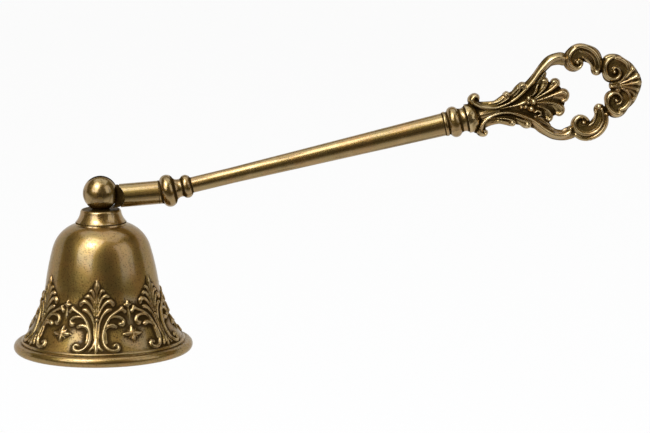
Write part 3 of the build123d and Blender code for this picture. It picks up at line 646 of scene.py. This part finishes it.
FAN_STROKES = [
    (1.35, [(115.3, 2.0, 0.50), (117.0, 3.4, 0.95), (118.4, 5.0, 1.25), (118.4, 5.6, 1.25)]),
    (1.95, [(114.7, 1.6, 0.39), (116.1, 2.45, 0.52), (117.8, 3.7, 0.72), (118.8, 4.9, 0.87),
            (118.8, 5.9, 0.87), (118.0, 6.1, 0.62)]),
    (1.35, [(115.5, 1.3, 0.45), (118.6, 2.5, 0.95), (121.2, 3.8, 1.50), (121.5, 4.05, 1.52)]),
    (1.95, [(114.8, 1.2, 0.39), (117.1, 1.95, 0.59), (119.7, 2.8, 0.86), (121.6, 3.8, 1.12),
            (122.0, 4.6, 1.02), (121.2, 5.0, 0.80), (120.5, 4.6, 0.59)]),
    (1.35, [(115.6, 0.45, 0.45), (119.5, 0.6, 0.95), (122.4, 0.2, 1.75), (123.0, 0.05, 1.80)]),
    (1.95, [(114.9, 0.46, 0.39), (118.1, 0.77, 0.62), (121.2, 1.15, 0.92), (123.2, 1.1, 1.17),
            (124.0, 0.2, 1.08), (123.5, -1.0, 0.95), (122.3, -1.4, 0.65)]),
    (1.35, [(115.6, -0.3, 0.45), (118.8, -1.5, 0.90), (120.7, -3.2, 1.55), (120.9, -3.9, 1.62)]),
    (1.95, [(115.0, -0.16, 0.39), (117.7, -0.8, 0.59), (119.9, -1.6, 0.86), (121.4, -2.9, 1.05),
            (121.7, -4.1, 1.08), (120.9, -4.95, 0.95), (119.9, -4.7, 0.65)]),
    (1.35, [(115.4, -1.5, 0.45), (116.9, -2.9, 0.90), (117.4, -4.9, 1.35), (117.4, -5.3, 1.38)]),
    (1.95, [(115.0, -1.24, 0.39), (116.7, -2.24, 0.59), (117.8, -3.6, 0.83), (118.1, -4.9, 0.92),
            (117.4, -5.9, 0.95), (116.6, -5.4, 0.65)]),
]
PEARL_STROKES = [
    (2.00, [(103.4, 0.8, 0.14), (105.1, 0.7, 0.34), (108.6, 0.65, 0.62), (110.9, 0.9, 1.00),
            (111.6, 1.1, 0.80)]),
    (2.00, [(110.0, -0.3, 0.95)]), (2.10, [(111.3, -0.5, 1.05)]), (2.30, [(112.7, 1.9, 1.20)]),
    (2.40, [(113.9, 0.5, 1.45)]), (2.30, [(112.8, -1.5, 1.35)]), (2.05, [(112.3, 0.5, 0.90)]),
    (2.00, [(114.0, 2.5, 0.55), (115.0, 3.3, 0.80), (115.7, 4.5, 0.72), (116.3, 5.3, 0.50)]),
    (1.90, [(113.5, -2.7, 0.50), (114.5, -2.5, 0.58), (115.3, -3.1, 0.58), (115.2, -3.9, 0.52),
            (114.3, -4.0, 0.40)]),
]
# Round stem between the arms, which holds the end of the stud, a little lighter than its groove
STEM_ROUND = [
    (1.80, [(95.0, 0, 1.80), (100.4, 0, 1.80), (101.8, 0.1, 1.20), (103.5, 0.4, 0.40)]),
    (2.00, [(97.2, 0.45, 0.30), (98.5, 0.5, 0.50), (100.7, 0.5, 0.45), (103.0, 0.4, 0.20)]),
]


def snapped(points, beads, rounds=3):
    """Points moved on to the outline of the strokes: each to the rim of the bead that reaches it best."""
    for _ in range(rounds):
        offset = points[:, None, :] - beads[None, :, :2]
        distance = np.hypot(offset[..., 0], offset[..., 1])
        best = (beads[:, 2] - distance).argmax(1)
        pick = np.arange(len(points))
        way = offset[pick, best] / np.maximum(distance[pick, best], 1e-9)[:, None]
        points = beads[best, :2] + way * beads[best, 2:3]
    return points


def loop_surface():
    """Two-sided relief: the lift of the strokes over a grid, to the front and to the back alike.

    Cells inside the strokes' outline are kept, and the rim of what is kept is moved on to the outline,
    where the lift is nothing and the two sides meet.
    """
    edge = stroke_beads(BODY_STROKES + ARM_STROKES + LEAF_STROKES + SHELL_STROKES + FAN_STROKES)
    rows = edge + stroke_beads(SCROLLWORK + PEARL_STROKES)
    along = np.arange(LOOP_START, LOOP_END, LOOP_CELL)
    across = np.arange(*LOOP_SIDES, LOOP_CELL)
    lift, _ = raised(rows, along, across, LOOP_RIDGE, LOOP_ROUNDNESS)
    _, depth = raised(edge, along, across, LOOP_RIDGE, LOOP_ROUNDNESS)
    solid = depth > -0.5 * LOOP_CELL
    cells = solid[:-1, :-1] & solid[1:, :-1] & solid[:-1, 1:] & solid[1:, 1:]
    around = np.pad(cells, 1)
    corners = np.stack([around[:-1, :-1], around[1:, :-1], around[:-1, 1:], around[1:, 1:]])
    used = corners.any(0)
    rim = used & ~corners.all(0)
    inner = used & ~rim
    place = np.stack(np.meshgrid(along, across), -1)
    outline = rim.copy()
    outline[:, 0] = False
    place[outline] = snapped(place[outline], np.vstack(edge))
    place[..., 0] = np.maximum(place[..., 0], LOOP_START)
    cuff_share = np.clip((along - LOOP_START) / CUFF_LENGTH, 0, 1)
    cuff = np.sqrt(np.maximum(CUFF_RADIUS ** 2 * (1 - cuff_share ** CUFF_POWER) - across[:, None] ** 2, 0))
    lift = np.maximum(lift, np.where(depth > 0, cuff, 0))
    # Relief: hollows between the strokes darken as patina and painted shade, and crests rub bright
    relief = sum((lift - softened(lift, reach)) / crest for reach, crest in LOOP_CRESTS) - LOOP_WAX
    stem, _ = raised(stroke_beads(STEM_ROUND), along, across, LOOP_RIDGE, LOOP_ROUNDNESS)
    relief += STEM_RUB * np.minimum(stem, 1)
    lift = np.maximum(lift, stem)
    # Cast dents: the product of two waves, the first of them bent by a third
    sway = DENTS_SWAY_REACH * np.sin(DENTS_SWAY * across[:, None])
    dents = np.sin(DENTS_ALONG * along + sway) * np.sin(DENTS_ACROSS * across[:, None] + DENTS_SHIFT)
    on_cuff = np.clip((1 - cuff_share) * CUFF_FADE, 0, 1) * np.clip(lift, 0, 1)
    dents *= on_cuff
    lift += CUFF_DENT * dents
    # Painted shade with wax in the dents of the cuff
    relief += CUFF_DENT_WAX_AND_SHADE * np.minimum(dents, 0) - CUFF_WAX * on_cuff
    lift = np.where(rim, 0, np.maximum(lift, THINNEST))
    number = np.full(used.shape, -1)
    number[used] = np.arange(used.sum())
    behind = number.copy()
    behind[inner] = used.sum() + np.arange(inner.sum())
    quads = [np.stack([n[:-1, :-1], n[:-1, 1:], n[1:, 1:], n[1:, :-1]], -1)[cells]
             for n in (number, behind)]
    faces = np.vstack([quads[0], quads[1][:, ::-1]])
    flat = np.concatenate([place[used], place[inner]])
    thick = np.concatenate([-lift[used], lift[inner]])
    up = np.array([-SHAFT_WAY[2], 0, SHAFT_WAY[0]])
    points = BEND + flat[:, :1] * SHAFT_WAY + flat[:, 1:] * up + thick[:, None] * np.array([0, 1, 0])
    relief = np.clip(relief, *LOOP_RELIEF_RANGE)
    return points, faces, np.concatenate([relief[used], relief[inner]])


loop_points, loop_faces, loop_relief = loop_surface()
loop = cast_piece("finger_loop", loop_points, loop_faces, loop_relief,
                  antique_brass("loop_brass", carved_patina_and_shade, roughness=0.24, pitting=0.6))
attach(loop, "handle")
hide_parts("handle_loop")

# Studio
# A white sweep well below the snuffer, which a hand would hold in the air, with large soft boxes.
CAMERA_FOCAL_PIXELS = 3200
PHOTO_WIDTH = 650
SENSOR = 36.0
CAMERA_YAW = math.radians(3.53)
CAMERA_PITCH = math.radians(9.96)
CAMERA_ROLL = math.radians(0.45)
CAMERA_DISTANCE = 0.9614
CAMERA_TARGET = Vector((0.06716, 0, 0.03931))
SWEEP_LOW = -0.12
SWEEP_HIGH = 2.5
SWEEP_FRONT = -9.0
SWEEP_BACK = 2.6
SWEEP_HALF_WIDTH = 9.0
SWEEP_FADE = (-0.40, 0.05)           # from the dim front of the sweep to its bright back
DIM_PAPER = (0.10, 0.09, 0.07, 1)
BRIGHT_PAPER = (0.9, 0.9, 0.9, 1)
WHITE_SHARE = 0.95                   # the rest of the sweep's look keeps the snuffer's shadow
ROOM_COLOUR = (1, 0.84, 0.58, 1)
ROOM_STRENGTH = 0.15

forward = Vector((math.sin(CAMERA_YAW) * math.cos(CAMERA_PITCH),
                  math.cos(CAMERA_YAW) * math.cos(CAMERA_PITCH), -math.sin(CAMERA_PITCH)))
level = Vector((math.cos(CAMERA_YAW), -math.sin(CAMERA_YAW), 0))
upright = level.cross(forward)
right = level * math.cos(CAMERA_ROLL) - upright * math.sin(CAMERA_ROLL)
above = upright * math.cos(CAMERA_ROLL) + level * math.sin(CAMERA_ROLL)
camera = bpy.data.objects.new("camera", bpy.data.cameras.new("camera"))
camera.data.sensor_width = SENSOR
camera.data.lens = SENSOR * CAMERA_FOCAL_PIXELS / PHOTO_WIDTH
camera.matrix_world = Matrix.Translation(CAMERA_TARGET - forward * CAMERA_DISTANCE) @ Matrix(
    (right, above, -forward)).transposed().to_4x4()
bpy.context.scene.collection.objects.link(camera)
bpy.context.scene.camera = camera

sweep_mesh = bpy.data.meshes.new("sweep")
sweep_mesh.from_pydata([(x * SWEEP_HALF_WIDTH, y, z) for y, z in (
    (SWEEP_FRONT, SWEEP_LOW), (SWEEP_BACK, SWEEP_LOW), (SWEEP_BACK, SWEEP_HIGH)) for x in (-1, 1)],
    [], [(0, 1, 3, 2), (2, 3, 5, 4)])
sweep = bpy.data.objects.new("sweep", sweep_mesh)
bpy.context.scene.collection.objects.link(sweep)
paper = bpy.data.materials.new("white_paper")
paper.use_nodes = True
paper.node_tree.nodes.clear()
sheet = Finish(paper.node_tree)
seen = [sheet.node("ShaderNodeLightPath", {}, {}, ray)
        for ray in ("Is Camera Ray", "Is Glossy Ray", "Is Transmission Ray")]
place = sheet.node("ShaderNodeTexCoord", {}, {}, "Object")
behind = sheet.node("ShaderNodeSeparateXYZ", {}, {0: place}, "Y").rise(*SWEEP_FADE)
dim, bright = (sheet.node("ShaderNodeBsdfDiffuse", {}, {"Color": colour})
               for colour in (DIM_PAPER, BRIGHT_PAPER))
lit = sheet.node("ShaderNodeMixShader", {}, {0: behind, 1: dim, 2: bright})
white = sheet.node("ShaderNodeEmission", {}, {"Color": (1, 1, 1, 1), "Strength": 1.0})
shown = seen[0].greater(seen[1].greater(seen[2]) * behind) * WHITE_SHARE
sheet.node("ShaderNodeOutputMaterial", {}, {
    "Surface": sheet.node("ShaderNodeMixShader", {}, {0: shown, 1: lit, 2: white})})
sweep_mesh.materials.append(paper)

world = bpy.data.worlds.new("studio")
world.use_nodes = True
world.node_tree.nodes["Background"].inputs["Color"].default_value = ROOM_COLOUR
world.node_tree.nodes["Background"].inputs["Strength"].default_value = ROOM_STRENGTH
bpy.context.scene.world = world

# Soft boxes: degrees to the right of the camera and above level, their breadth and height in
# degrees as the snuffer sees them, and how bright they look beside white paper.
LAMP_DISTANCE = 1.3
LAMP_COLOUR = (0.94, 1.0, 1.08)
SOFT_BOXES = {
    "key": (-38, 45, 38, 62, 4.0),
    "key_core": (-36, 52, 16, 16, 12.0),
    "side": (62, 30, 36, 44, 1.4),
    "top": (180, 84, 60, 50, 1.3),
}
for lamp_name, (turn, rise, breadth, height, radiance) in SOFT_BOXES.items():
    lamp = bpy.data.lights.new(lamp_name, "AREA")
    lamp.shape = "RECTANGLE"
    lamp.color = LAMP_COLOUR
    lamp.size = 2 * LAMP_DISTANCE * math.tan(math.radians(breadth / 2))
    lamp.size_y = 2 * LAMP_DISTANCE * math.tan(math.radians(height / 2))
    lamp.energy = radiance * math.pi * lamp.size * lamp.size_y
    turn, rise = math.radians(turn) - CAMERA_YAW, math.radians(rise)
    way = Vector((math.sin(turn) * math.cos(rise), -math.cos(turn) * math.cos(rise), math.sin(rise)))
    box = bpy.data.objects.new(lamp_name, lamp)
    box.location = CAMERA_TARGET + way * LAMP_DISTANCE
    box.rotation_euler = (-way).to_track_quat("-Z", "Y").to_euler()
    bpy.context.scene.collection.objects.link(box)

bpy.context.scene.view_settings.view_transform = "Standard"
